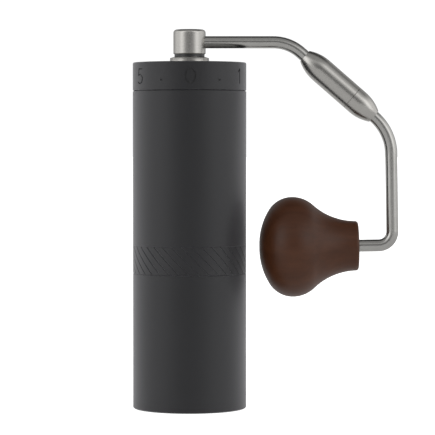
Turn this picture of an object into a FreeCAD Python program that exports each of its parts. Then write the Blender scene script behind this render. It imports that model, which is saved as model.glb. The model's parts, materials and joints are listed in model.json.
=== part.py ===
"""Hand crank coffee grinder with a folding crank, external numbered dial and lift-off catch cup.

Frame: origin at the centre of the base, +Z up, the crank arm towards +X. Lengths in millimetres.
Every length that drives the shape is in the sheet "Dims"; each sub-part is bound to it.
"""
import FreeCAD, Part
import math
import os

import Sketcher

Vec = FreeCAD.Vector
Rot = FreeCAD.Rotation
doc = FreeCAD.newDocument("coffee_grinder")

# ---------------------------------------------------------------- driving sizes

SIZES = [
    # barrel
    ("barrel_radius", 26.0),
    ("cup_seam", 62.3),
    ("band_top", 75.1),
    ("dial_seam", 145.8),
    ("dial_top", 158.7),
    ("seam_gap", 0.3),
    ("cup_gap", 0.16),
    ("edge_break", 0.18),
    ("base_chamfer", 0.45),
    ("hopper_radius", 21.8),
    ("spigot_radius", 23.3),
    ("spigot_bottom", 54.3),
    ("cup_floor", 3.5),
    ("neck_radius", 23.7),
    ("neck_top", 155.0),
    # grip band
    ("groove_count", 36),
    ("groove_depth", 0.26),
    ("groove_width", 0.66),
    # burrs
    ("burr_radius", 22.0),
    ("burr_bottom", 66.0),
    ("burr_top", 88.0),
    ("burr_edge_radius", 19.3),
    ("burr_throat_radius", 14.0),
    ("burr_clearance", 0.32),
    # shaft, bearings and adjustment
    ("shaft_radius", 4.0),
    ("drive_flats", 6.0),
    ("running_clearance", 0.04),
    ("carrier_radius", 9.0),
    ("click_count", 60),
    ("click_radius", 24.85),
    ("numeral_height", 7.1),
    ("numeral_stroke", 0.6),
    ("numeral_depth", 0.55),
    ("numeral_fill", 0.2),
    ("numeral_turn", 1.6),
    # hub and lid
    ("hub_radius", 7.4),
    ("hub_bottom", 162.6),
    ("hub_top", 173.85),
    ("collar_radius", 8.95),
    ("collar_top", 161.3),
    ("hub_washer_radius", 6.9),
    ("lid_top", 158.5),
    # crank
    ("rod_radius", 2.8),
    ("arm_height", 168.05),
    ("fold_reach", 45.5),
    ("fold_tilt", 41.08),
    ("upper_bend", 19.0),
    ("sleeve_offset", 9.72),
    ("sleeve_length", 41.9),
    ("sleeve_radius", 5.87),
    ("sleeve_mouth", 3.25),
    ("sleeve_nose", 10.0),
    ("sleeve_nose_arc", 19.8),
    ("sleeve_split", 28.7),
    ("sleeve_gap", 0.1),
    ("sleeve_break", 0.06),
    ("elbow_setback", 10.47),
    ("drop_bend", 23.0),
    ("drop_length", 52.2),
    ("foot_bend", 6.3),
    ("drop_lean", 0.95),
    # knob
    ("knob_length", 45.45),
    ("knob_radius", 22.93),
    ("knob_standoff", 15.74),
    ("knob_bush_radius", 5.0),
]

sheet = doc.addObject("Spreadsheet::Sheet", "Dims")
for row, (alias, size) in enumerate(SIZES, start=1):
    sheet.set("A%d" % row, alias)
    sheet.set("B%d" % row, str(size))
    sheet.setAlias("B%d" % row, alias)
doc.recompute()


class Dim:
    """A size from the sheet: its value now, and the expression that keeps a sketch bound to it."""

    def __init__(self, value, text):
        self.value = float(value)
        self.text = text

    def _with(self, other, sign, value):
        text = other.text if isinstance(other, Dim) else repr(other)
        return Dim(value, "(%s %s %s)" % (self.text, sign, text))

    def __add__(self, other):
        return self._with(other, "+", self.value + num(other))

    def __sub__(self, other):
        return self._with(other, "-", self.value - num(other))

    def __mul__(self, other):
        return self._with(other, "*", self.value * num(other))

    def __truediv__(self, other):
        return self._with(other, "/", self.value / num(other))


def num(size):
    return size.value if isinstance(size, Dim) else float(size)


D = {alias: Dim(size, "Dims." + alias) for alias, size in SIZES}

# ---------------------------------------------------------------- modelling helpers


def bind(target, path, size):
    """Tie a property to the sheet when its size comes from there."""
    if isinstance(size, Dim):
        target.setExpression(path, size.text)


def new_body(label, placement=None):
    body = doc.addObject("PartDesign::Body", label)
    body.Label = label
    if placement is not None:
        body.Placement = placement
    return body


def new_sketch(body, role, offset=0):
    """A sketch on one of the body's own origin planes, lifted along its normal by offset."""
    sketch = doc.addObject("Sketcher::SketchObject", "outline")
    body.addObject(sketch)
    plane = [p for p in body.Origin.OriginFeatures if p.Role == role][0]
    sketch.AttachmentSupport = [(plane, "")]
    sketch.MapMode = "FlatFace"
    sketch.AttachmentOffset = FreeCAD.Placement(Vec(0, 0, num(offset)), Rot())
    bind(sketch, "AttachmentOffset.Base.z", offset)
    return sketch


def constrain(sketch, kind, *args):
    """Add a dimension; its last argument is the size, bound to the sheet when it comes from there."""
    size = args[-1]
    index = sketch.addConstraint(Sketcher.Constraint(kind, *args[:-1], num(size)))
    bind(sketch, "Constraints[%d]" % index, size)


def arc_between(start, end, bend):
    """Arc of radius |bend|; a positive bend keeps its centre to the left of the way from start to end."""
    chord = end - start
    half = chord.Length / 2
    left = Vec(-chord.y, chord.x, 0).normalize()
    rise = math.sqrt(max(bend * bend - half * half, 0.0))
    centre = (start + end) * 0.5 + left * math.copysign(rise, bend)
    first, last = (start, end) if bend > 0 else (end, start)
    angles = [math.atan2(p.y - centre.y, p.x - centre.x) for p in (first, last)]
    return Part.ArcOfCircle(Part.Circle(centre, Vec(0, 0, 1), abs(bend)), angles[0], angles[1])


def draw(sketch, corners, closed=True):
    """Join corners (x, y) by lines. A third value on a corner bends the edge that leads to it."""
    count = len(corners)
    points = [Vec(num(c[0]), num(c[1]), 0) for c in corners]
    ends = []
    order = range(1, count + 1) if closed else range(1, count)
    for i in order:
        start, end, corner = points[i - 1], points[i % count], corners[i % count]
        if len(corner) == 2:
            edge = sketch.addGeometry(Part.LineSegment(start, end))
            ends.append((edge, 1, 2))
            continue
        bend = num(corner[2])
        edge = sketch.addGeometry(arc_between(start, end, bend))
        ends.append((edge, 1, 2) if bend > 0 else (edge, 2, 1))
        constrain(sketch, "Radius", edge, corner[2] if bend > 0 else abs(bend))
    for i in range(len(ends) if closed else len(ends) - 1):
        here, there = ends[i], ends[(i + 1) % len(ends)]
        sketch.addConstraint(Sketcher.Constraint("Coincident", here[0], here[2], there[0], there[1]))
    for i, corner in enumerate(corners):
        edge, first, last = ends[i] if i < len(ends) else ends[-1]
        at = first if i < len(ends) else last
        for kind, axis, size in (("DistanceX", -2, corner[0]), ("DistanceY", -1, corner[1])):
            if num(size) == 0:
                sketch.addConstraint(Sketcher.Constraint("PointOnObject", edge, at, axis))
            else:
                constrain(sketch, kind, -1, 1, edge, at, size)
    return sketch


def circle(sketch, x, y, radius):
    edge = sketch.addGeometry(Part.Circle(Vec(num(x), num(y), 0), Vec(0, 0, 1), num(radius)))
    constrain(sketch, "Radius", edge, radius)
    for kind, axis, size in (("DistanceX", -2, x), ("DistanceY", -1, y)):
        if num(size) == 0:
            sketch.addConstraint(Sketcher.Constraint("PointOnObject", edge, 3, axis))
        else:
            constrain(sketch, kind, -1, 1, edge, 3, size)
    return sketch


def add(body, kind, sketch, **settings):
    """Add a PartDesign feature on a sketch, set its properties, and check that it changed the body."""
    before = body.Shape.Volume if body.Tip else 0.0
    feature = doc.addObject("PartDesign::" + kind, kind.lower())
    body.addObject(feature)
    feature.Profile = sketch
    for name, value in settings.items():
        if isinstance(value, Dim):
            setattr(feature, name, value.value)
            bind(feature, name, value)
        else:
            setattr(feature, name, value)
    doc.recompute()
    if abs(body.Shape.Volume - before) < 1e-6:
        raise RuntimeError("%s on %s changed nothing" % (kind, body.Label))
    return feature


def polar(body, feature, axis, count):
    """Repeat a feature evenly round an axis."""
    before = body.Shape.Volume
    pattern = doc.addObject("PartDesign::PolarPattern", "around")
    body.addObject(pattern)
    pattern.Originals = [feature]
    pattern.Axis = axis
    pattern.Angle = 360
    pattern.Occurrences = int(num(count))
    bind(pattern, "Occurrences", count)
    body.Tip = pattern
    doc.recompute()
    if abs(body.Shape.Volume - before) < 1e-6:
        raise RuntimeError("pattern on %s changed nothing" % body.Label)
    return pattern


def turned(label, corners, placement=None):
    """A piece turned about its own Z axis from an outline of (radius, height) corners."""
    body = new_body(label, placement)
    sketch = draw(new_sketch(body, "XZ_Plane"), corners)
    add(body, "Revolution", sketch, ReferenceAxis=(sketch, ["V_Axis"]))
    return body


def ring(label, inner, outer, bottom, top, placement=None):
    return turned(label, [(inner, bottom), (outer, bottom), (outer, top), (inner, top)], placement)


def slab(body, corners, bottom, height):
    """A straight block of the given outline, standing on the level called bottom."""
    sketch = draw(new_sketch(body, "XY_Plane", bottom), corners)
    return sketch, add(body, "Pad", sketch, Length=height)


def holes(body, radius, x, bottom, depth, count):
    """Equal round holes on a circle, cut upwards from the level called bottom."""
    sketch = circle(new_sketch(body, "XY_Plane", bottom), x, 0, radius)
    hole = add(body, "Pocket", sketch, Length=depth, Reversed=True)
    return polar(body, hole, (sketch, ["N_Axis"]), count)


def spread(label, source, orbit, height, count, placement=None):
    """Equal copies of a solid on a circle about Z, as one node with a solid each."""
    group = doc.addObject("Part::Feature", label)
    group.Label = label
    doc.recompute()
    copies = []
    for i in range(count):
        turn = 2 * math.pi * i / count
        copy = source.Shape.copy()
        copy.translate(Vec(num(orbit) * math.cos(turn), num(orbit) * math.sin(turn), num(height)))
        copies.append(copy)
    group.Shape = Part.makeCompound(copies)
    if placement is not None:
        group.Placement = placement
    return group


def balls(label, radius, orbit, height, count, placement=None):
    """Equal balls on a circle about Z."""
    ball = doc.addObject("Part::Sphere", label + "_ball")
    ball.Radius = radius
    return spread(label, ball, orbit, height, count, placement)


def coil(label, orbit, wire_radius, bottom, top, turns, placement=None):
    """A round-wire compression spring about Z."""
    body = new_body(label, placement)
    sketch = circle(new_sketch(body, "XZ_Plane"), orbit, num(bottom) + wire_radius, wire_radius)
    rise = num(top) - num(bottom) - 2 * wire_radius
    add(body, "AdditiveHelix", sketch, ReferenceAxis=(sketch, ["V_Axis"]), Mode=0,
        Pitch=rise / turns, Height=rise)
    return body


# ---------------------------------------------------------------- barrel

GAP = D["seam_gap"] / 2


def make_body_shell():
    """Barrel wall: cup spigot, burr seat, hopper bore and the neck the dial turns on."""
    wall = D["barrel_radius"]
    brk = D["edge_break"]
    low = D["cup_seam"] + D["cup_gap"] / 2
    high = D["dial_seam"] - GAP
    body = turned("body_shell", [
        (D["burr_radius"] + 0.05, D["spigot_bottom"]),
        (D["spigot_radius"], D["spigot_bottom"]),
        (D["spigot_radius"], 56.9),
        (D["spigot_radius"] - 0.6, 56.9),
        (D["spigot_radius"] - 0.6, 58.3),
        (D["spigot_radius"], 58.3),
        (D["spigot_radius"], low),
        (wall - brk, low),
        (wall, low + brk),
        (wall, high - brk),
        (wall - brk, high),
        (D["neck_radius"], high),
        (D["neck_radius"], D["neck_top"]),
        (D["neck_radius"] - 1.5, D["neck_top"]),
        (D["neck_radius"] - 1.5, 137.0),
        (D["hopper_radius"], 137.0),
        (D["hopper_radius"], 90.0),
        (20.0, 90.0),
        (20.0, D["burr_top"]),
        (D["burr_radius"] + 0.05, D["burr_top"]),
    ])
    line = draw(new_sketch(body, "XZ_Plane"), [
        (wall - 0.15, D["band_top"] + 0.1),
        (wall + 0.3, D["band_top"] - 0.3),
        (wall + 0.3, D["band_top"] + 0.5),
    ])
    add(body, "Groove", line, ReferenceAxis=(line, ["V_Axis"]))
    half = D["groove_width"] / 2
    middle = D["cup_seam"] + 0.3
    rib = draw(new_sketch(body, "XZ_Plane"), [
        (wall - D["groove_depth"], middle),
        (wall + 0.25, middle - half * 1.7),
        (wall + 0.25, middle + half * 1.7),
    ])
    cut = add(body, "SubtractiveHelix", rib, ReferenceAxis=(rib, ["V_Axis"]), Mode=0, LeftHanded=True,
              Pitch=wall * 2 * math.pi, Height=D["band_top"] - D["cup_seam"] - 0.4)
    polar(body, cut, (rib, ["V_Axis"]), D["groove_count"])
    seats = circle(new_sketch(body, "XY_Plane", high), D["click_radius"], 0, 0.78)
    seat = add(body, "Pocket", seats, Length=6.0)
    polar(body, seat, (seats, ["N_Axis"]), 2)
    return body


def make_catch_cup():
    """Straight cup that takes the spigot in its mouth; a recess below holds the foot pad."""
    wall = D["barrel_radius"]
    brk = D["edge_break"]
    high = D["cup_seam"] - D["cup_gap"] / 2
    bevel = D["base_chamfer"]
    bore = D["spigot_radius"] + 0.08
    turned("catch_cup", [
        (0, 1.5),
        (22.0, 1.5),
        (22.0, 0.3),
        (wall - bevel, 0.3),
        (wall, bevel + 0.3),
        (wall, high - brk),
        (wall - brk, high),
        (bore, high),
        (bore, D["spigot_bottom"] - 0.8),
        (bore - 0.7, D["spigot_bottom"] - 1.5),
        (bore - 0.7, D["cup_floor"] + 2.5),
        (bore - 3.2, D["cup_floor"], -2.5),
        (0, D["cup_floor"]),
    ])
    turned("cup_pad", [(0, 0), (21.5, 0), (21.95, 0.45), (21.95, 1.5), (0, 1.5)])


def make_spigot_seal():
    inner = D["spigot_radius"] - 0.6
    outer = D["spigot_radius"] + 0.04
    turned("spigot_seal", [
        (inner, 57.0),
        (outer - 0.3, 57.0),
        (outer, 57.3, 0.3),
        (outer, 57.9),
        (outer - 0.3, 58.2, 0.3),
        (inner, 58.2),
    ])


# ---------------------------------------------------------------- burrs


def burr_cone(offset):
    """Corners of the grinding gap, from the fine edge below to the throat, moved in by offset."""
    edge = D["burr_edge_radius"] - offset
    return [
        (edge, D["burr_bottom"]),
        (edge - 0.7, D["burr_bottom"] + 4.0),
        (D["burr_throat_radius"] - offset, D["burr_bottom"] + 16.0),
    ]


def teeth(body, tip, back, bottom, height, lean, width, count, lead):
    """Slanted V teeth cut along a cone whose wall leans by the given angle."""
    sketch = draw(new_sketch(body, "XZ_Plane"), [
        (tip, bottom),
        (back, bottom - width / 2),
        (back, bottom + width / 2),
    ])
    cut = add(body, "SubtractiveHelix", sketch, ReferenceAxis=(sketch, ["V_Axis"]), Mode=0,
              Pitch=lead, Height=height, Angle=lean)
    polar(body, cut, (sketch, ["V_Axis"]), count)


def make_burrs():
    """Conical burr set: the fixed ring burr, its retainer, and the turning centre burr."""
    low, high = D["burr_bottom"], D["burr_top"]
    outer = D["burr_radius"]
    edge, land, throat = burr_cone(0)
    ring_burr = turned("outer_burr", [
        edge,
        (outer, low),
        (outer, high),
        (throat[0] + 3.5, high),
        throat,
        land,
    ])
    teeth(ring_burr, 19.0, 16.9, 71.5, 15.0, -19.5, 2.4, 16, 260.0)
    holes(ring_burr, 0.82, 20.65, low, 5.0, 3)
    retainer = ring("burr_retainer", 19.75, outer - 0.02, low - 2.4, low)
    holes(retainer, 0.82, 20.65, low - 2.4, 2.4, 3)
    screws = new_body("retainer_screws")
    shank = circle(new_sketch(screws, "XY_Plane", low - 2.4), 20.65, 0, 0.8)
    pad = add(screws, "Pad", shank, Length=6.5)
    polar(screws, pad, (shank, ["N_Axis"]), 3)

    gap = D["burr_clearance"]
    seat = 3.55
    edge, land, throat = burr_cone(gap)
    centre = turned("inner_burr", [
        (seat, low - 0.2),
        (edge[0] - 0.1, low - 0.2),
        land,
        throat,
        (10.0, low + 18.0),
        (seat, low + 18.0),
    ])
    teeth(centre, 15.6, 19.6, 70.5, 14.5, -20.6, 4.6, 9, 130.0)
    teeth(centre, 18.2, 19.6, 65.5, 4.6, -9.5, 1.3, 36, 90.0)


# ---------------------------------------------------------------- fixed frames


def spider(label, rim_in, rim_out, bottom, top, hub_radius, hub_bore, hub_bottom, spoke_width):
    """A rim and a hub joined by three spokes; beans pass between the spokes."""
    body = ring(label, hub_bore, hub_radius, hub_bottom, top)
    rim = draw(new_sketch(body, "XZ_Plane"), [
        (rim_in, bottom), (rim_out, bottom), (rim_out, top), (rim_in, top),
    ])
    half = spoke_width / 2
    reach = (num(rim_in) + num(rim_out)) / 2
    inner = (num(hub_bore) + num(hub_radius)) / 2
    sketch, spoke = slab(body, [(inner, -half), (reach, -half), (reach, half), (inner, half)],
                         bottom, num(top) - num(bottom) - 0.5)
    polar(body, spoke, (sketch, ["N_Axis"]), 3)
    add(body, "Revolution", rim, ReferenceAxis=(rim, ["V_Axis"]))
    return body


def make_frames():
    """The two frames fixed in the barrel: one holds the shaft bush, one guides the bearing carrier."""
    shaft = D["shaft_radius"]
    clear = D["running_clearance"]
    wall = D["hopper_radius"] - 0.03
    spider("lower_frame", wall - 1.6, wall, 90.0, 96.0, 6.8, 5.4, 90.0, 4.6)
    turned("shaft_bush", [
        (shaft + clear, 90.0),
        (5.38, 90.0),
        (5.38, 96.05),
        (6.3, 96.05),
        (6.3, 97.0),
        (shaft + clear, 97.0),
    ])
    bore = D["carrier_radius"] + 0.05
    rim = D["neck_radius"] - 1.53
    upper = spider("upper_frame", rim - 1.6, rim, 137.0, 142.0, 11.8, bore, 134.0, 4.6)
    keyway = draw(new_sketch(upper, "XY_Plane", 134.0), [(8.5, -1.1), (10.2, -1.1), (10.2, 1.1), (8.5, 1.1)])
    add(upper, "Pocket", keyway, Length=8.0, Reversed=True)


# ---------------------------------------------------------------- bearings


def bearing(name, bore, outside, bottom, width, ball, count):
    """A ball bearing as outer race, inner race and balls."""
    orbit = (num(bore) + num(outside)) / 2
    middle = num(bottom) + width / 2
    top = num(bottom) + width
    half = math.sqrt((ball + 0.05) ** 2 - (ball * 0.7) ** 2)
    inner_edge = orbit - ball * 0.7
    outer_edge = orbit + ball * 0.7
    turned(name + "_outer_race", [
        (outer_edge, bottom),
        (outside, bottom),
        (outside, top),
        (outer_edge, top),
        (outer_edge, middle + half),
        (outer_edge, middle - half, -(ball + 0.05)),
    ])
    turned(name + "_inner_race", [
        (bore, bottom),
        (inner_edge, bottom),
        (inner_edge, middle - half),
        (inner_edge, middle + half, -(ball + 0.05)),
        (inner_edge, top),
        (bore, top),
    ])
    balls(name + "_balls", ball, orbit, middle, count)


# ---------------------------------------------------------------- dial and adjustment


def numeral_paths(height):
    """Centre lines of the numerals 0 to 5, each a list of paths in (across, up)."""
    top = height

    def line(*points):
        return [Part.LineSegment(Vec(*a, 0), Vec(*b, 0)).toShape() for a, b in zip(points, points[1:])]

    def curve(a, b, c):
        return [Part.Arc(Vec(*a, 0), Vec(*b, 0), Vec(*c, 0)).toShape()]

    oval = Part.Ellipse(Vec(0, top, 0), Vec(-2.2, top / 2, 0), Vec(0, top / 2, 0)).toShape()
    return [
        [[oval]],
        [line((-1.3, top - 1.3), (0, top), (0, 0))],
        [curve((-1.8, top - 1.9), (0, top), (1.8, top - 1.9)) + line((1.8, top - 1.9), (-1.9, 0), (1.9, 0))],
        [line((-1.7, top), (1.7, top), (-0.2, top - 2.5)) + curve((-0.2, top - 2.5), (1.75, 1.6), (-1.9, 0.7))],
        [line((0.9, 0), (0.9, top)), line((0.9, top), (-2.1, 1.8), (2.0, 1.8))],
        [line((1.6, top), (-1.2, top), (-1.5, top - 2.9)) + curve((-1.5, top - 2.9), (1.75, 1.9), (-1.8, 0.5))],
    ]


def stroke_faces(path, width):
    """The band of the given width along a path."""
    if len(path) == 1 and isinstance(path[0].Curve, Part.Line):
        foot, head = [v.Point for v in path[0].Vertexes]
        side = Vec(width / 2, 0, 0)
        return Part.Face(Part.makePolygon([foot - side, foot + side, head + side, head - side, foot - side]))
    if len(path) == 1 and isinstance(path[0].Curve, Part.Ellipse):
        faces = []
        for grow in (width / 2, -width / 2):
            oval = path[0].Curve.copy()
            oval.MajorRadius += grow
            oval.MinorRadius += grow
            faces.append(Part.Face(Part.Wire(oval.toShape())))
        return faces[0].cut(faces[1]).Faces[0]
    return Part.Face(Part.Wire(path).makeOffset2D(width / 2, openResult=False))


def numeral_tools():
    """Prisms that cut the numerals, and the dots midway between them, into the dial."""
    stroke = num(D["numeral_stroke"])
    height = num(D["numeral_height"]) - stroke
    radius = num(D["barrel_radius"])
    depth = num(D["numeral_depth"])
    low = (num(D["dial_seam"]) + num(D["dial_top"])) / 2 - height / 2
    tools = []
    for i, paths in enumerate(numeral_paths(height)):
        turn = math.radians(60 * i - 90 + num(D["numeral_turn"]))
        out = Vec(math.cos(turn), math.sin(turn), 0)
        along = Vec(-math.sin(turn), math.cos(turn), 0)
        place = FreeCAD.Placement(out * (radius - depth) + Vec(0, 0, low), Rot(along, Vec(0, 0, 1), out, "ZXY"))
        prisms = [stroke_faces(path, stroke).extrude(Vec(0, 0, 1.5)) for path in paths]
        solid = prisms[0].fuse(prisms[1:]).removeSplitter() if len(prisms) > 1 else prisms[0]
        solid.Placement = place
        tools.append(solid)
        turn += math.radians(30)
        out = Vec(math.cos(turn), math.sin(turn), 0)
        tools.append(Part.makeCylinder(0.65, 1.5, out * (radius - depth) + Vec(0, 0, 150.3), out))
    return tools


def make_dial():
    """Numbered ring, the thin paint in its engraved marks, and the nut frame pressed under its top flange."""
    wall = D["barrel_radius"]
    brk = D["edge_break"]
    low = D["dial_seam"] + GAP
    high = D["dial_top"]
    blank = turned("dial_blank", [
        (D["neck_radius"] + 0.3, low),
        (wall - brk, low),
        (wall, low + brk),
        (wall, high - 0.4),
        (wall - 0.4, high),
        (D["neck_radius"] - 1.6, high),
        (D["neck_radius"] - 1.6, 157.0),
        (D["neck_radius"] + 0.3, 157.0),
    ])
    track = draw(new_sketch(blank, "XZ_Plane"), [
        (D["click_radius"] - 0.55, low),
        (D["click_radius"] + 0.55, low),
        (D["click_radius"] + 0.55, low + 0.35),
        (D["click_radius"] - 0.55, low + 0.35),
    ])
    add(blank, "Groove", track, ReferenceAxis=(track, ["V_Axis"]))
    holes(blank, 0.45, D["click_radius"], low, 0.75, D["click_count"])
    tools = doc.addObject("Part::Feature", "numeral_tools")
    tools.Shape = Part.makeCompound(numeral_tools())
    dial = doc.addObject("Part::Cut", "dial_ring")
    dial.Label = "dial_ring"
    dial.Base = blank
    dial.Tool = tools
    skin = doc.addObject("Part::Cylinder", "fill_limit")
    fill_face = wall - D["numeral_depth"] + D["numeral_fill"]
    skin.Radius = num(fill_face)
    bind(skin, "Radius", fill_face)
    skin.Height = num(high)
    bind(skin, "Height", high)
    marks = doc.addObject("Part::Common", "dial_marks")
    marks.Label = "dial_marks"
    marks.Base = tools
    marks.Tool = skin

    rim = D["neck_radius"] - 1.85
    bore = D["carrier_radius"] + 0.05
    nut = spider("adjusting_frame", rim - 1.4, rim, 146.0, 151.0, 12.2, bore, 145.0, 4.6)
    lip = draw(new_sketch(nut, "XZ_Plane"), [
        (rim - 1.4, 150.5),
        (rim, 150.5),
        (rim, 155.4),
        (D["neck_radius"] + 0.28, 155.4),
        (D["neck_radius"] + 0.28, 156.98),
        (rim - 1.4, 156.98),
    ])
    add(nut, "Revolution", lip, ReferenceAxis=(lip, ["V_Axis"]))


def make_click_stops():
    """Spring-loaded balls in the barrel's shoulder that click in the dial's dimples."""
    balls("click_balls", 0.7, D["click_radius"], 145.5, 2)
    spring = coil("click_coil", 0.52, 0.14, 139.8, 144.7, 6)
    spread("click_springs", spring, D["click_radius"], 0, 2)


# ---------------------------------------------------------------- shaft and its carrier


def make_carrier():
    """Sliding tube that the dial's nut raises and lowers; it holds the upper shaft bearing."""
    tube = turned("bearing_carrier", [
        (5.2, 135.0),
        (D["carrier_radius"], 135.0),
        (D["carrier_radius"], 152.0),
        (8.02, 152.0),
        (8.02, 144.0),
        (5.2, 144.0),
    ])
    slab(tube, [(8.5, -1.05), (10.1, -1.05), (10.1, 1.05), (8.5, 1.05)], 135.0, 6.5)
    bearing("upper_bearing", 4.0, 8.0, 144.0, 5.0, 1.2, 9)


def make_shaft():
    """Drive shaft with a six-sided top, and what clamps the centre burr to its foot."""
    shaft = D["shaft_radius"]
    body = turned("drive_shaft", [
        (0, 66.6),
        (3.5, 66.6),
        (3.5, 84.0),
        (shaft, 84.0),
        (shaft, 138.0),
        (4.85, 138.0),
        (4.85, 143.98),
        (shaft - 0.02, 143.98),
        (shaft - 0.02, 149.1),
        (3.5, 149.1),
        (3.5, 149.9),
        (shaft - 0.02, 149.9),
        (shaft - 0.02, 150.6),
        (0, 150.6),
    ])
    corner = D["drive_flats"].value / math.sqrt(3)
    corners = [(corner * math.cos(math.radians(60 * i)), corner * math.sin(math.radians(60 * i)))
               for i in range(6)]
    slab(body, corners, 150.6, 13.8)
    thread = circle(new_sketch(body, "XY_Plane", 66.6), 0, 0, 2.02)
    add(body, "Pocket", thread, Length=12.0, Reversed=True)
    ring("shaft_circlip", 3.52, 5.0, 149.15, 149.85)
    ring("burr_washer", 2.2, 8.0, 64.4, 65.78)
    bolt = turned("burr_bolt", [
        (0, 61.2),
        (3.5, 61.2),
        (3.5, 64.38),
        (2.0, 64.38),
        (2.0, 76.0),
        (0, 76.0),
    ])
    key = circle(new_sketch(bolt, "XY_Plane", 61.2), 0, 0, 1.5)
    add(bolt, "Pocket", key, Length=2.0, Reversed=True)
    coil("burr_spring", 5.0, 0.45, 84.05, 89.7, 3.5)


# ---------------------------------------------------------------- lid and hub


def make_lid():
    """Lid that plugs the dial's mouth, with the steel collar the crank turns in."""
    top = D["lid_top"]
    rim = D["neck_radius"] - 1.9
    turned("lid_plate", [
        (9.02, 152.2),
        (11.0, 152.2),
        (11.0, 155.6),
        (18.2, 155.6),
        (18.2, 152.6),
        (19.6, 152.6),
        (19.6, 153.4),
        (18.9, 153.4),
        (18.9, 154.8),
        (19.6, 154.8),
        (20.1, 155.3),
        (20.1, 157.02),
        (rim, 157.02),
        (rim, top - 0.5),
        (rim - 0.5, top, 0.5),
        (7.02, top),
        (7.02, 156.62),
        (9.02, 156.62),
    ])
    turned("lid_seal", [
        (18.92, 153.45),
        (19.9, 153.45),
        (20.4, 154.1),
        (19.9, 154.75),
        (18.92, 154.75),
    ])
    edge = D["collar_radius"]
    high = D["collar_top"]
    turned("lid_collar", [
        (5.95, 156.65),
        (7.0, 156.65),
        (7.0, top + 0.02),
        (edge, top + 0.02),
        (edge, 160.05),
        (edge - 0.12, 160.2),
        (edge, 160.35),
        (edge, high - 0.7),
        (edge - 0.25, high - 0.45, 0.25),
        (7.3, high),
        (5.95, high),
    ])
    bearing("lid_bearing", 5.3, 9.0, 152.6, 4.0, 1.1, 10)


def make_hub():
    """Hub and the dark washer under it: a turned head with a stem whose six-sided socket drives the shaft."""
    radius = D["hub_radius"]
    low, high = D["hub_bottom"], D["hub_top"]
    body = turned("crank_hub", [
        (0, 151.2),
        (5.28, 151.2),
        (5.28, 151.6),
        (4.8, 151.6),
        (4.8, 152.4),
        (5.28, 152.4),
        (5.28, 156.62),
        (5.62, 156.62),
        (5.62, low),
        (radius - 0.3, low),
        (radius, low + 0.3),
        (radius, high - 1.5),
        (radius - 1.5, high, 1.6),
        (0, high),
    ])
    corner = (num(D["drive_flats"]) + 0.12) / math.sqrt(3)
    corners = [(corner * math.cos(math.radians(60 * i)), corner * math.sin(math.radians(60 * i)))
               for i in range(6)]
    socket = draw(new_sketch(body, "XY_Plane", 151.2), corners)
    add(body, "Pocket", socket, Length=13.8, Reversed=True)
    bore = circle(new_sketch(body, "YZ_Plane", 1.5), 0, D["arm_height"], D["rod_radius"] + 0.01)
    add(body, "Pocket", bore, Length=10.0, Reversed=True)
    ring("hub_circlip", 4.82, 6.4, 151.65, 152.35)
    ring("hub_washer", 5.64, D["hub_washer_radius"], D["collar_top"] + 0.15, low - 0.02)


# ---------------------------------------------------------------- folding crank

TILT = num(D["fold_tilt"])
SLOPE = Vec(math.cos(math.radians(TILT)), 0, -math.sin(math.radians(TILT)))
CORNER = Vec(num(D["fold_reach"]), 0, num(D["arm_height"]))
SLEEVE_TOP = CORNER + SLOPE * num(D["sleeve_offset"])
ALONG_SLEEVE = FreeCAD.Placement(SLEEVE_TOP, Rot(Vec(0, 1, 0), 90 + TILT))


def make_upper_crank():
    """Upper rod and the fixed half of the fold joint, with its pull spring and click balls."""
    arm = new_body("upper_arm")
    bend = D["upper_bend"]
    setback = num(bend) * math.tan(math.radians(TILT / 2))
    level = D["arm_height"]
    into = CORNER + SLOPE * (num(D["sleeve_offset"]) + 12.0)
    start_bend = CORNER - Vec(setback, 0, 0)
    end_bend = CORNER + SLOPE * setback
    profile = circle(new_sketch(arm, "YZ_Plane", 1.6), 0, level, D["rod_radius"])
    spine = draw(new_sketch(arm, "XZ_Plane"), [
        (1.6, level),
        (start_bend.x, level),
        (end_bend.x, end_bend.z, bend * -1),
        (into.x, into.z),
    ], closed=False)
    add(arm, "AdditivePipe", profile, Spine=(spine, ["Edge1", "Edge2", "Edge3"]))

    split = D["sleeve_split"]
    face = split - D["sleeve_gap"] / 2
    brk = D["sleeve_break"]
    thick = D["sleeve_radius"]
    mouth = D["sleeve_mouth"]
    nose = D["sleeve_nose"]
    bore = D["rod_radius"] + 0.02
    sleeve = turned("upper_sleeve", [
        (bore, 0.0),
        (mouth, 0.0),
        (thick, nose, D["sleeve_nose_arc"]),
        (thick, face - brk),
        (thick - brk, face),
        (1.55, face),
        (1.55, split - 4.0),
        (bore, split - 4.0),
    ], ALONG_SLEEVE)
    holes(sleeve, 0.8, 4.0, split - 1.3, 1.3, 2)


def make_lower_crank():
    """Turning half of the fold joint, its pivot pin and the hooked lower rod."""
    split = D["sleeve_split"]
    face = split + D["sleeve_gap"] / 2
    brk = D["sleeve_break"]
    thick = D["sleeve_radius"]
    total = D["sleeve_length"]
    bore = D["rod_radius"] + 0.02
    turned("lower_sleeve", [
        (1.52, face),
        (3.1, face),
        (3.1, split + 0.55),
        (4.9, split + 0.55),
        (4.9, face),
        (thick - brk, face),
        (thick, face + brk),
        (thick, total - D["sleeve_nose"]),
        (D["sleeve_mouth"], total, D["sleeve_nose_arc"]),
        (bore, total),
        (bore, split + 4.5),
        (1.52, split + 4.5),
    ], ALONG_SLEEVE)
    turned("fold_pin", [
        (0, 13.6),
        (2.5, 13.6),
        (2.5, 15.2),
        (1.5, 15.2),
        (1.5, split + 4.3),
        (0, split + 4.3),
    ], ALONG_SLEEVE)
    coil("fold_spring", 2.1, 0.35, 15.3, split - 4.1, 5.5, ALONG_SLEEVE)


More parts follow.
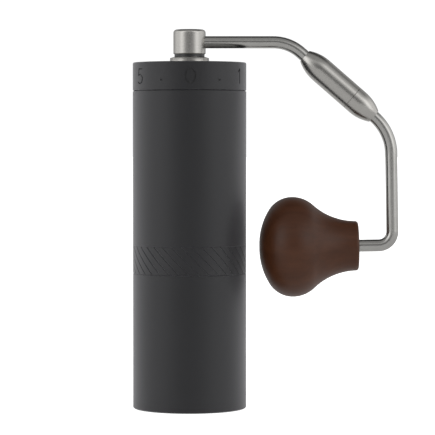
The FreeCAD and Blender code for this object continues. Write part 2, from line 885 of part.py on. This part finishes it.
def make_fold_balls():
    """Balls held in the fixed half of the fold joint; they click at the folded and open stops."""
    balls("fold_balls", 0.75, 4.0, num(D["sleeve_split"]) - 0.35, 2, ALONG_SLEEVE)


LEAN = math.radians(num(D["drop_lean"]))
DROP = num(D["drop_length"])
UP = Vec(-math.sin(LEAN), 0, math.cos(LEAN))
OUT = Vec(math.cos(LEAN), 0, math.sin(LEAN))
ELBOW = CORNER + SLOPE * (num(D["sleeve_offset"]) + num(D["sleeve_length"]) + num(D["elbow_setback"]))
FOOT = ELBOW - UP * DROP
HOOK = FreeCAD.Placement(FOOT, Rot(OUT, Vec(0, 1, 0), UP, "ZXY"))
KNOB_START = FOOT - OUT * num(D["knob_standoff"])
ALONG_KNOB = FreeCAD.Placement(KNOB_START, Rot(Vec(0, 0, 1), OUT * -1))


def make_hooked_rod():
    """Lower rod, drawn in its own frame: origin at the foot corner, X outwards, Z up the drop."""
    rod = new_body("lower_arm", HOOK)
    radius = D["rod_radius"]
    foot = D["foot_bend"]
    drop = D["drop_length"]
    bend = D["drop_bend"]
    lean = math.radians(90 - TILT) - LEAN
    setback = num(bend) * math.tan(lean / 2)
    slope = Vec(math.sin(lean), 0, -math.cos(lean))
    to_sleeve = num(D["elbow_setback"]) + num(D["sleeve_length"]) - num(D["sleeve_split"]) - 4.6
    end = Vec(0, 0, DROP) - slope * to_sleeve
    leave = Vec(0, 0, DROP) - slope * setback
    inside = D["knob_standoff"] + 37.2
    profile = circle(new_sketch(rod, "YZ_Plane", inside * -1), 0, 0, radius)
    spine = draw(new_sketch(rod, "XZ_Plane"), [
        (inside * -1, 0),
        (foot * -1, 0),
        (0, foot, foot),
        (0, drop - setback),
        (leave.x, leave.z, bend),
        (end.x, end.z),
    ], closed=False)
    edges = ["Edge%d" % i for i in range(1, 6)]
    add(rod, "AdditivePipe", profile, Spine=(spine, edges))
    clip = D["knob_standoff"] * -1 - 36.0
    groove = draw(new_sketch(rod, "XZ_Plane"), [
        (clip - 0.4, radius - 0.46),
        (clip + 0.4, radius - 0.46),
        (clip + 0.4, radius + 0.5),
        (clip - 0.4, radius + 0.5),
    ])
    add(rod, "Groove", groove, ReferenceAxis=(groove, ["H_Axis"]))


# ---------------------------------------------------------------- knob


def make_knob():
    """Turned wooden bulb with a brass bush; a spring clip on the rod's end keeps it on."""
    length = D["knob_length"]
    bush = D["knob_bush_radius"]
    wide = D["knob_radius"]
    turned("knob", [
        (bush, 0),
        (wide - 12.83, 0),
        (wide - 11.53, 1.3, 1.3),
        (wide - 3.81, length - 24.96, -29.0),
        (wide, length - 15.25, 14.3),
        (wide - 5.98, length - 4.53, 12.6),
        (1.0, length, 30.35),
        (0, length),
        (0, 39.0),
        (bush, 39.0),
    ], ALONG_KNOB)
    rod = D["rod_radius"] + D["running_clearance"]
    turned("knob_bush", [
        (rod, 0.3),
        (bush - 0.02, 0.3),
        (bush - 0.02, 38.6),
        (4.3, 38.6),
        (4.3, 35.0),
        (rod, 35.0),
    ], ALONG_KNOB)
    ring("knob_clip", 2.36, 3.9, 35.65, 36.35, ALONG_KNOB)


# ---------------------------------------------------------------- check and write


make_body_shell()
make_catch_cup()
make_spigot_seal()
make_burrs()
make_frames()
make_dial()
make_click_stops()
make_carrier()
make_shaft()
make_lid()
make_hub()
make_upper_crank()
make_fold_balls()
make_lower_crank()
make_hooked_rod()
make_knob()
doc.recompute()

NODES = [
    "body_shell", "spigot_seal", "outer_burr", "burr_retainer", "retainer_screws", "lower_frame", "shaft_bush",
    "upper_frame", "click_balls", "click_springs", "catch_cup", "cup_pad",
    "dial_ring", "dial_marks", "adjusting_frame",
    "bearing_carrier", "upper_bearing_outer_race", "upper_bearing_balls",
    "drive_shaft", "upper_bearing_inner_race", "shaft_circlip", "inner_burr", "burr_washer", "burr_bolt",
    "burr_spring",
    "lid_plate", "lid_seal", "lid_collar", "lid_bearing_outer_race", "lid_bearing_balls",
    "crank_hub", "hub_washer", "lid_bearing_inner_race", "hub_circlip", "upper_arm", "upper_sleeve", "fold_balls",
    "lower_sleeve", "fold_pin", "fold_spring", "lower_arm", "knob_clip",
    "knob", "knob_bush",
]

for item in doc.Objects:
    if "Invalid" in item.State or "Error" in item.State:
        raise RuntimeError("%s did not compute: %s" % (item.Label, item.State))

os.makedirs("parts", exist_ok=True)
for node in NODES:
    shape = doc.getObjectsByLabel(node)[0].Shape
    if shape.isNull() or not shape.isValid() or shape.Volume <= 0:
        raise RuntimeError(node + " has no valid shape")
    shape.exportStep("parts/%s.step" % node)
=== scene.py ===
"""Looks of the hand crank coffee grinder: materials, floor, studio light and camera."""
import json
import math

import bpy
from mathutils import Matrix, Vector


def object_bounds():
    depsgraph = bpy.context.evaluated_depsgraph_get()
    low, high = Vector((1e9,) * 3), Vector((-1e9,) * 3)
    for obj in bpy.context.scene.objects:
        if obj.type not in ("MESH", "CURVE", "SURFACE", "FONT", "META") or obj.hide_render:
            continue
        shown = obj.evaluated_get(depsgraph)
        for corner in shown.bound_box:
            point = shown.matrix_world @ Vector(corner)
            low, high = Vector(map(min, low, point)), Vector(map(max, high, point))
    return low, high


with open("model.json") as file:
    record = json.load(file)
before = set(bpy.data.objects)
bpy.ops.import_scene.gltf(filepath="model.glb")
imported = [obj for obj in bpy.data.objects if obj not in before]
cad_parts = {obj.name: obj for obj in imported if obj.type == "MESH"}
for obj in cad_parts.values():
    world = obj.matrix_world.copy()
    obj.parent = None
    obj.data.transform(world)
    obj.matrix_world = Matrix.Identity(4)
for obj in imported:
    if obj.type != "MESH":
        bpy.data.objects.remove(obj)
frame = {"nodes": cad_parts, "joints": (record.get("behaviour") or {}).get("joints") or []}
CAD_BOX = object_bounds()
NODES = frame["nodes"]
JOINTS = {joint["name"]: joint for joint in frame["joints"]}

MM = 0.001
UP = (0.0, 0.0, 1.0)

# Brightness of the light tent, by how far round it is: 0 behind the camera, 0.5 at the sides, 1 behind
# the object. TENT is the light from low down, CROWN the light from above.
TENT = ((0.0, 0.22), (0.04, 0.3), (0.1, 1.0), (0.2, 2.2), (0.4, 1.2),
        (0.6, 1.35), (0.75, 0.9), (0.88, 0.5), (1.0, 0.4))
CROWN = ((0.0, 0.35), (0.42, 0.55), (0.5, 0.35), (0.6, 0.06), (1.0, 0.04))
CROWN_RISE = (0.5, 0.75)    # height in the tent where TENT gives way to CROWN
BACKDROP = 1.05             # brightness of the white that the camera sees
FLOOR_SIZE = 30.0
FLOOR_GLOW = (0.3, 1.0)     # the floor's own light: on the object, and as the camera sees it

CAMERA_PLACE = (12.81 * MM, -1076.6 * MM, 123.72 * MM)
CAMERA_DOWN = 1.913         # degrees below the level
CAMERA_SENSOR = 36.0
CAMERA_LENS = 194.2


# ---------------------------------------------------------------- node helpers


def set_stops(color_ramp, stops):
    bar = color_ramp.elements
    while len(bar) < len(stops):
        bar.new(0.5)
    for element, (at, colour) in zip(bar, stops):
        element.position = at
        element.color = (*colour, 1.0)


class Nodes:
    """A material under construction, with short calls for the nodes used here."""

    def __init__(self, name):
        self.material = bpy.data.materials.new(name)
        self.material.use_nodes = True
        self.tree = self.material.node_tree
        self.shader = self.tree.nodes["Principled BSDF"]
        self.place = self.add("ShaderNodeTexCoord").outputs["Object"]

    def add(self, kind, **inputs):
        node = self.tree.nodes.new(kind)
        for name, value in inputs.items():
            self.set(node, name.replace("_", " "), value)
        return node

    def set(self, node, name, value):
        if isinstance(value, bpy.types.NodeSocket):
            self.tree.links.new(value, node.inputs[name])
        else:
            node.inputs[name].default_value = value

    def sets(self, **values):
        """Values that are the same all over go straight on the shader's own sockets."""
        for name, value in values.items():
            self.set(self.shader, name.replace("_", " "), value)

    def operate(self, node_type, kind, values):
        node = self.tree.nodes.new(node_type)
        node.operation = kind
        for socket, value in zip(node.inputs, values):
            if isinstance(value, bpy.types.NodeSocket):
                self.tree.links.new(value, socket)
            else:
                socket.default_value = value
        return node

    def math(self, kind, a, b):
        return self.operate("ShaderNodeMath", kind, (a, b)).outputs[0]

    def vector_math(self, kind, a, b):
        return self.operate("ShaderNodeVectorMath", kind, (a, b))

    def noise(self, where, scale, detail=2.0, roughness=0.5):
        return self.add("ShaderNodeTexNoise", Vector=where, Scale=scale, Detail=detail,
                        Roughness=roughness).outputs[0]

    def ramp(self, factor, *stops):
        node = self.tree.nodes.new("ShaderNodeValToRGB")
        self.tree.links.new(factor, node.inputs[0])
        set_stops(node.color_ramp, stops)
        return node.outputs[0]

    def span(self, factor, low, high):
        node = self.tree.nodes.new("ShaderNodeMapRange")
        self.tree.links.new(factor, node.inputs["Value"])
        node.inputs["To Min"].default_value = low
        node.inputs["To Max"].default_value = high
        return node.outputs[0]

    def bump(self, height, depth, strength):
        return self.add("ShaderNodeBump", Height=height, Distance=depth, Strength=strength).outputs[0]

    def along(self, axis):
        """Distance along an axis through the origin."""
        return self.vector_math("DOT_PRODUCT", self.place, axis).outputs["Value"]

    def stretched(self, axis, shrink):
        """Coordinates squeezed along one axis, so that a texture is drawn out along it."""
        slide = self.vector_math("SCALE", axis, (0.0, 0.0, 0.0))
        self.tree.links.new(self.math("MULTIPLY", self.along(axis), shrink - 1.0), slide.inputs["Scale"])
        return self.vector_math("ADD", self.place, slide.outputs[0]).outputs[0]


# ---------------------------------------------------------------- materials


def charcoal_coating():
    """Fine-grained matte coating, with the slightest cloudiness."""
    n = Nodes("charcoal_coating")
    grain = n.noise(n.place, 3800.0, 3.0, 0.6)
    cloud = n.noise(n.place, 55.0, 3.0)
    mixed = n.math("ADD", n.math("MULTIPLY", grain, 0.6), n.math("MULTIPLY", cloud, 0.4))
    n.sets(Base_Color=n.ramp(mixed, (0.3, (0.0048, 0.0048, 0.0062)), (0.7, (0.0082, 0.0082, 0.0100))),
           Roughness=n.span(mixed, 0.38, 0.5),
           Normal=n.bump(grain, 0.03 * MM, 0.25),
           Metallic=0.0, IOR=1.42, Sheen_Weight=0.48, Sheen_Roughness=0.5,
           Sheen_Tint=(0.96, 0.96, 1.0, 1.0))
    return n.material


def turned_steel(name, axis, tint=(0.42, 0.41, 0.39), lay=0.5):
    """Steel with fine lines round an axis, as a lathe and a polishing belt leave it."""
    n = Nodes(name)
    lines = n.noise(n.stretched(axis, 40.0), 90.0, 4.0, 0.65)
    smear = n.noise(n.place, 140.0, 2.0)
    shade = n.math("ADD", n.math("MULTIPLY", lines, 0.7), n.math("MULTIPLY", smear, 0.3))
    dark = tuple(0.92 * c for c in tint)
    n.sets(Base_Color=n.ramp(shade, (0.3, dark), (0.7, tint)),
           Roughness=n.span(shade, 0.24, 0.29),
           Normal=n.bump(lines, 0.005 * MM, 0.04),
           Metallic=1.0, Anisotropic=lay)
    if axis == UP:
        tangent = n.tree.nodes.new("ShaderNodeTangent")
        tangent.direction_type = "RADIAL"
        tangent.axis = "Z"
        n.sets(Tangent=tangent.outputs[0])
    return n.material


def drawn_steel():
    """Polished round bar, with faint marks that follow no direction round its bends."""
    n = Nodes("drawn_steel")
    fine = n.noise(n.place, 900.0, 4.0, 0.7)
    smear = n.noise(n.place, 120.0, 2.0)
    shade = n.math("ADD", n.math("MULTIPLY", fine, 0.5), n.math("MULTIPLY", smear, 0.5))
    n.sets(Base_Color=n.ramp(shade, (0.3, (0.35, 0.345, 0.33)), (0.7, (0.41, 0.405, 0.39))),
           Roughness=n.span(shade, 0.2, 0.27),
           Normal=n.bump(fine, 0.006 * MM, 0.06),
           Metallic=1.0)
    return n.material


def oiled_wood(axis):
    """Dark close-grained wood under satin oil, its quiet figure drawn out along the knob's axis."""
    n = Nodes("oiled_wood")
    figure = n.noise(n.stretched(axis, 0.07), 230.0, 4.0, 0.55)
    pores = n.noise(n.stretched(axis, 0.04), 1500.0, 2.0, 0.5)
    shade = n.math("ADD", n.math("MULTIPLY", figure, 0.75), n.math("MULTIPLY", pores, 0.25))
    colour = n.ramp(shade, (0.3, (0.048, 0.0145, 0.0044)), (0.5, (0.060, 0.0188, 0.0062)),
                    (0.7, (0.072, 0.0236, 0.0084)))
    n.sets(Base_Color=colour,
           Roughness=n.span(shade, 0.40, 0.48),
           Normal=n.bump(pores, 0.02 * MM, 0.15),
           Metallic=0.0, IOR=1.36)
    return n.material


def black_rubber():
    """Matte rubber of the foot pad and the seals."""
    n = Nodes("black_rubber")
    grain = n.noise(n.place, 1600.0, 3.0)
    n.sets(Base_Color=n.ramp(grain, (0.3, (0.012, 0.012, 0.012)), (0.7, (0.022, 0.022, 0.022))),
           Roughness=n.span(grain, 0.65, 0.8),
           Normal=n.bump(grain, 0.04 * MM, 0.4))
    return n.material


def bearing_polymer():
    """Smooth black polymer of the ring under the hub."""
    n = Nodes("bearing_polymer")
    fine = n.noise(n.place, 2000.0, 2.0)
    n.sets(Base_Color=n.ramp(fine, (0.3, (0.017, 0.017, 0.017)), (0.7, (0.023, 0.023, 0.023))),
           Roughness=n.span(fine, 0.26, 0.34))
    return n.material


def dark_paint():
    """Thin paint at the bottom of the engraved dial marks."""
    n = Nodes("dark_paint")
    grain = n.noise(n.place, 2500.0, 2.0)
    n.sets(Base_Color=n.ramp(grain, (0.3, (0.010, 0.010, 0.011)), (0.7, (0.014, 0.014, 0.015))),
           Roughness=n.span(grain, 0.5, 0.65))
    return n.material


def plain_metal(name, tint, rough):
    """Metal of the hidden pieces: an even tint with a fine machined mottle."""
    n = Nodes(name)
    fine = n.noise(n.place, 600.0, 4.0, 0.6)
    dark = tuple(0.8 * c for c in tint)
    n.sets(Base_Color=n.ramp(fine, (0.3, dark), (0.7, tint)),
           Roughness=n.span(fine, rough * 0.8, rough * 1.2),
           Normal=n.bump(fine, 0.01 * MM, 0.25),
           Metallic=1.0)
    return n.material


def dress(material, *names):
    for name in names:
        node = NODES[name]
        node.data.materials.clear()
        node.data.materials.append(material)


def dress_all():
    sleeve_axis = tuple(JOINTS["fold_turn"]["axis"])
    knob_axis = tuple(JOINTS["knob_spin"]["axis"])
    dress(charcoal_coating(), "body_shell", "catch_cup", "dial_ring")
    dress(turned_steel("turned_alloy", UP, tint=(0.5, 0.5, 0.49)), "lid_plate")
    dress(turned_steel("turned_steel", UP), "crank_hub", "lid_collar")
    dress(turned_steel("sleeve_steel", sleeve_axis, lay=0.0),
          "upper_sleeve", "lower_sleeve", "fold_pin")
    dress(drawn_steel(), "upper_arm", "lower_arm")
    dress(oiled_wood(knob_axis), "knob")
    dress(black_rubber(), "cup_pad", "spigot_seal", "lid_seal")
    dress(bearing_polymer(), "hub_washer")
    dress(dark_paint(), "dial_marks")
    dress(plain_metal("burr_steel", (0.46, 0.46, 0.47), 0.32),
          "outer_burr", "inner_burr", "burr_retainer", "retainer_screws", "burr_washer", "burr_bolt",
          "drive_shaft")
    dress(plain_metal("frame_alloy", (0.66, 0.66, 0.67), 0.42),
          "lower_frame", "upper_frame", "adjusting_frame", "bearing_carrier")
    dress(plain_metal("turned_brass", (0.72, 0.53, 0.25), 0.3), "shaft_bush", "knob_bush")
    dress(plain_metal("bearing_steel", (0.68, 0.68, 0.7), 0.15),
          "upper_bearing_outer_race", "upper_bearing_inner_race", "upper_bearing_balls",
          "lid_bearing_outer_race", "lid_bearing_inner_race", "lid_bearing_balls",
          "click_balls", "fold_balls")
    dress(plain_metal("spring_wire", (0.42, 0.42, 0.44), 0.3),
          "click_springs", "burr_spring", "fold_spring", "shaft_circlip", "hub_circlip", "knob_clip")


# ---------------------------------------------------------------- floor, light and camera


def make_floor():
    """Pale floor that runs into the white behind it and throws a soft light back up."""
    bpy.ops.mesh.primitive_plane_add(size=FLOOR_SIZE, location=(0.0, 0.0, CAD_BOX[0][2]))
    floor = bpy.context.object
    floor.name = "floor"
    n = Nodes("pale_floor")
    fine = n.noise(n.place, 40.0, 2.0)
    path = n.tree.nodes.new("ShaderNodeLightPath")
    n.sets(Base_Color=n.ramp(fine, (0.3, (0.78, 0.78, 0.78)), (0.7, (0.82, 0.82, 0.82))), Roughness=0.9,
           Emission_Color=(1.0, 1.0, 1.0, 1.0),
           Emission_Strength=n.span(path.outputs["Is Camera Ray"], *FLOOR_GLOW))
    floor.data.materials.append(n.material)


def make_world():
    """White to look at; it lights the object like a tent, brightest either side of the lens."""
    world = bpy.data.worlds.new("studio")
    bpy.context.scene.world = world
    world.use_nodes = True
    nodes, links = world.node_tree.nodes, world.node_tree.links
    nodes.clear()
    way = nodes.new("ShaderNodeSeparateXYZ")
    links.new(nodes.new("ShaderNodeTexCoord").outputs["Generated"], way.inputs[0])
    depth = nodes.new("ShaderNodeMapRange")
    depth.inputs["From Min"].default_value = -1.0
    links.new(way.outputs["Y"], depth.inputs["Value"])
    inside = nodes.new("ShaderNodeMixShader")
    height = nodes.new("ShaderNodeMapRange")
    height.inputs["From Min"].default_value, height.inputs["From Max"].default_value = CROWN_RISE
    links.new(way.outputs["Z"], height.inputs["Value"])
    links.new(height.outputs[0], inside.inputs[0])
    for slot, stops in ((1, TENT), (2, CROWN)):
        part = nodes.new("ShaderNodeBackground")
        levels = nodes.new("ShaderNodeValToRGB")
        links.new(depth.outputs[0], levels.inputs[0])
        set_stops(levels.color_ramp, [(at, (level, level, level)) for at, level in stops])
        links.new(levels.outputs[0], part.inputs["Color"])
        links.new(part.outputs[0], inside.inputs[slot])
    behind = nodes.new("ShaderNodeBackground")
    behind.inputs["Color"].default_value = (1.0, 1.0, 1.0, 1.0)
    behind.inputs["Strength"].default_value = BACKDROP
    mix = nodes.new("ShaderNodeMixShader")
    links.new(nodes.new("ShaderNodeLightPath").outputs["Is Camera Ray"], mix.inputs[0])
    links.new(inside.outputs[0], mix.inputs[1])
    links.new(behind.outputs[0], mix.inputs[2])
    links.new(mix.outputs[0], nodes.new("ShaderNodeOutputWorld").inputs["Surface"])


def make_camera():
    lens = bpy.data.cameras.new("camera")
    lens.sensor_width = CAMERA_SENSOR
    lens.lens = CAMERA_LENS
    lens.clip_end = 50.0
    camera = bpy.data.objects.new("camera", lens)
    bpy.context.scene.collection.objects.link(camera)
    camera.location = CAMERA_PLACE
    camera.rotation_euler = (math.radians(90.0 - CAMERA_DOWN), 0.0, 0.0)
    bpy.context.scene.camera = camera


dress_all()
make_floor()
make_world()
make_camera()
bpy.context.scene.view_settings.view_transform = "Standard"
